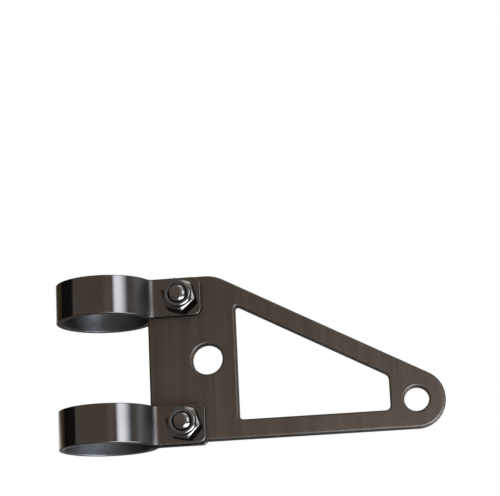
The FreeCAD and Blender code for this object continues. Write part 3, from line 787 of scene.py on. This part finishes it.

# %% [markdown]
# ## The studio
#
# Chrome whose dark base colour is painted shade shows mostly what stands round it. The room is white, and a mirror
# that gives back a twentieth of the light shows it as a dark grey. The camera and the gloss see the room at full
# white. Its light on dull surfaces is set apart from that and is weaker, so that the floor isn't washed out.

# %% White room
ROOM_COLOUR, ROOM_STRENGTH = (0.75, 0.75, 0.75, 1), 0.9
world = bpy.data.worlds.new("studio")
world.use_nodes = True
bpy.context.scene.world = world
tree = world.node_tree
room = tree.nodes["Background"]
room.inputs["Color"].default_value = ROOM_COLOUR
room.inputs["Strength"].default_value = ROOM_STRENGTH
shown = tree.nodes.new("ShaderNodeBackground")
shown.inputs["Color"].default_value = (1, 1, 1, 1)
shown.inputs["Strength"].default_value = 1.0
path = tree.nodes.new("ShaderNodeLightPath")
camera_or_gloss = combine(tree, "MAXIMUM", path.outputs["Is Camera Ray"], path.outputs["Is Glossy Ray"])
seen = combine(tree, "MAXIMUM", camera_or_gloss, path.outputs["Is Transmission Ray"])
choose = tree.nodes.new("ShaderNodeMixShader")
tree.links.new(seen, choose.inputs["Fac"])
tree.links.new(room.outputs["Background"], choose.inputs[1])
tree.links.new(shown.outputs["Background"], choose.inputs[2])
tree.links.new(choose.outputs["Shader"], tree.nodes["World Output"].inputs["Surface"])
print("room light of strength", ROOM_STRENGTH)

# %% Pale floor
FLOOR_HEIGHT, FLOOR_HALF = -0.25, 6
bm = bmesh.new()
bmesh.ops.create_grid(bm, x_segments=1, y_segments=1, size=FLOOR_HALF)
bmesh.ops.translate(bm, verts=bm.verts, vec=(0, 0, FLOOR_HEIGHT))
floor_finish, tree, shader, place = new_finish("pale_floor")
mottle = stretched_noise(tree, place, (3, 3, 3), detail=4)
tree.links.new(two_tones(tree, mottle, (0.80, 0.80, 0.80), (0.84, 0.84, 0.84)), shader.inputs["Base Color"])
shader.inputs["Roughness"].default_value = 0.8
shader.inputs["Specular IOR Level"].default_value = 0.0
floor = add_object("floor", mesh_from(bm, "floor", floor_finish))
print("floor at", FLOOR_HEIGHT, "m")

# %% [markdown]
# ## The panels
#
# A bright, tall panel on the right draws the white line on each band, and a dark panel on the left draws the black
# one. A low panel lights the ends of the screws and the collars of the nuts, a top panel their upper corners, and a
# weak one at the side the far ends of the plate. Two panels behind the bracket light the screw heads and the back of
# the plate, and two warm ones in front give the plating its brown. Lamps would light the floor as well. The panels
# act on gloss only and fade into the white room at their borders, so none of them shows as a board.

# %% Panels
COOL, PLAIN, WARM = (0.74, 0.85, 1.0), (1.0, 1.0, 1.0), (1.0, 0.90, 0.80)


def glow_of(name, width, height, soft, soft_right, colour, strength):
    """A glow that falls from its full strength to that of the room at the border of a panel."""
    glow, tree, _, place = new_finish(name)
    axes = axes_of(tree, place)
    across = between(tree, axes["X"], -width / 2, soft, width / 2, soft_right)
    upright = between(tree, axes["Y"], -height / 2, soft, height / 2, soft)
    inside = combine(tree, "MULTIPLY", across, upright)
    emission = tree.nodes.new("ShaderNodeEmission")
    emission.inputs["Color"].default_value = (*colour, 1)
    tree.links.new(spread(tree, inside, 1, strength, 0, 1), emission.inputs["Strength"])
    tree.links.new(emission.outputs["Emission"], tree.nodes["Material Output"].inputs["Surface"])
    return glow


def panel(name, azimuth, elevation, distance, width, height, soft, colour, strength, soft_right=None):
    """A panel that faces the bracket and shows in gloss only. Angles are in degrees, and lengths in metres."""
    side, rise = radians(azimuth), radians(elevation)
    out = Vector((sin(side) * cos(rise), -cos(side) * cos(rise), sin(rise)))
    along = Vector((cos(side), sin(side), 0))
    bm = bmesh.new()
    bmesh.ops.create_grid(bm, x_segments=1, y_segments=1, size=0.5)
    bmesh.ops.scale(bm, verts=bm.verts, vec=(width, height, 1))
    glow = glow_of(name, width, height, soft, soft_right or soft, colour, strength)
    board = add_object(name, mesh_from(bm, name, glow))
    turn = Matrix((along, out.cross(along), out)).transposed()
    board.matrix_world = Matrix.Translation(out * distance) @ turn.to_4x4()
    board.visible_camera = False
    board.visible_diffuse = False
    board.visible_shadow = False
    print(f"{name} at azimuth {azimuth}, {width} by {height} m")


panel("bright_panel", 46.6, 10, 0.9, 0.66, 0.60, 0.18, COOL, 17, soft_right=0.40)
panel("low_panel", 52, -36, 0.32, 0.42, 0.22, 0.05, COOL, 36)
panel("ramp_panel", 17, 4, 1.1, 0.52, 1.00, 0.24, WARM, 1.4)
panel("back_panel", 224, -6, 0.6, 0.40, 0.36, 0.12, COOL, 12)
panel("rear_panel", 142, -4, 0.62, 0.70, 0.42, 0.16, PLAIN, 4)
panel("side_panel", 104, 10, 0.8, 0.30, 0.40, 0.08, COOL, 2.4)
panel("top_panel", 40, 58, 0.8, 0.50, 0.40, 0.10, PLAIN, 7)
panel("dark_panel", -91, 10, 0.8, 0.76, 0.70, 0.14, PLAIN, 0.10)
panel("front_panel", -25, 12, 1.2, 1.80, 1.20, 0.30, WARM, 1)

# %% [markdown]
# One large lamp from above gives the floor a soft shadow and the plastic rings their shape. A sun would draw a hard
# shadow, which an even studio light doesn't have.

# %% Lamp
LAMP_SIDE, LAMP_POWER = 0.9, 6
LAMP_PLACE, LAMP_AIM = Vector((0.7, -0.9, 1.1)), Vector((0.06, 0, 0))
lamp_data = bpy.data.lights.new("soft_lamp", "AREA")
lamp_data.shape = "RECTANGLE"
lamp_data.size, lamp_data.size_y = LAMP_SIDE, LAMP_SIDE
lamp_data.energy = LAMP_POWER
lamp = add_object("soft_lamp", lamp_data)
lamp.location = LAMP_PLACE
lamp.rotation_euler = (LAMP_AIM - LAMP_PLACE).to_track_quat("-Z", "Y").to_euler()
print("lamp of", lamp_data.energy, "W")

# %% [markdown]
# ## The end
#
# The view transform is Standard, so that a colour shows as it is written.

# %% Finish
bpy.context.scene.view_settings.view_transform = "Standard"
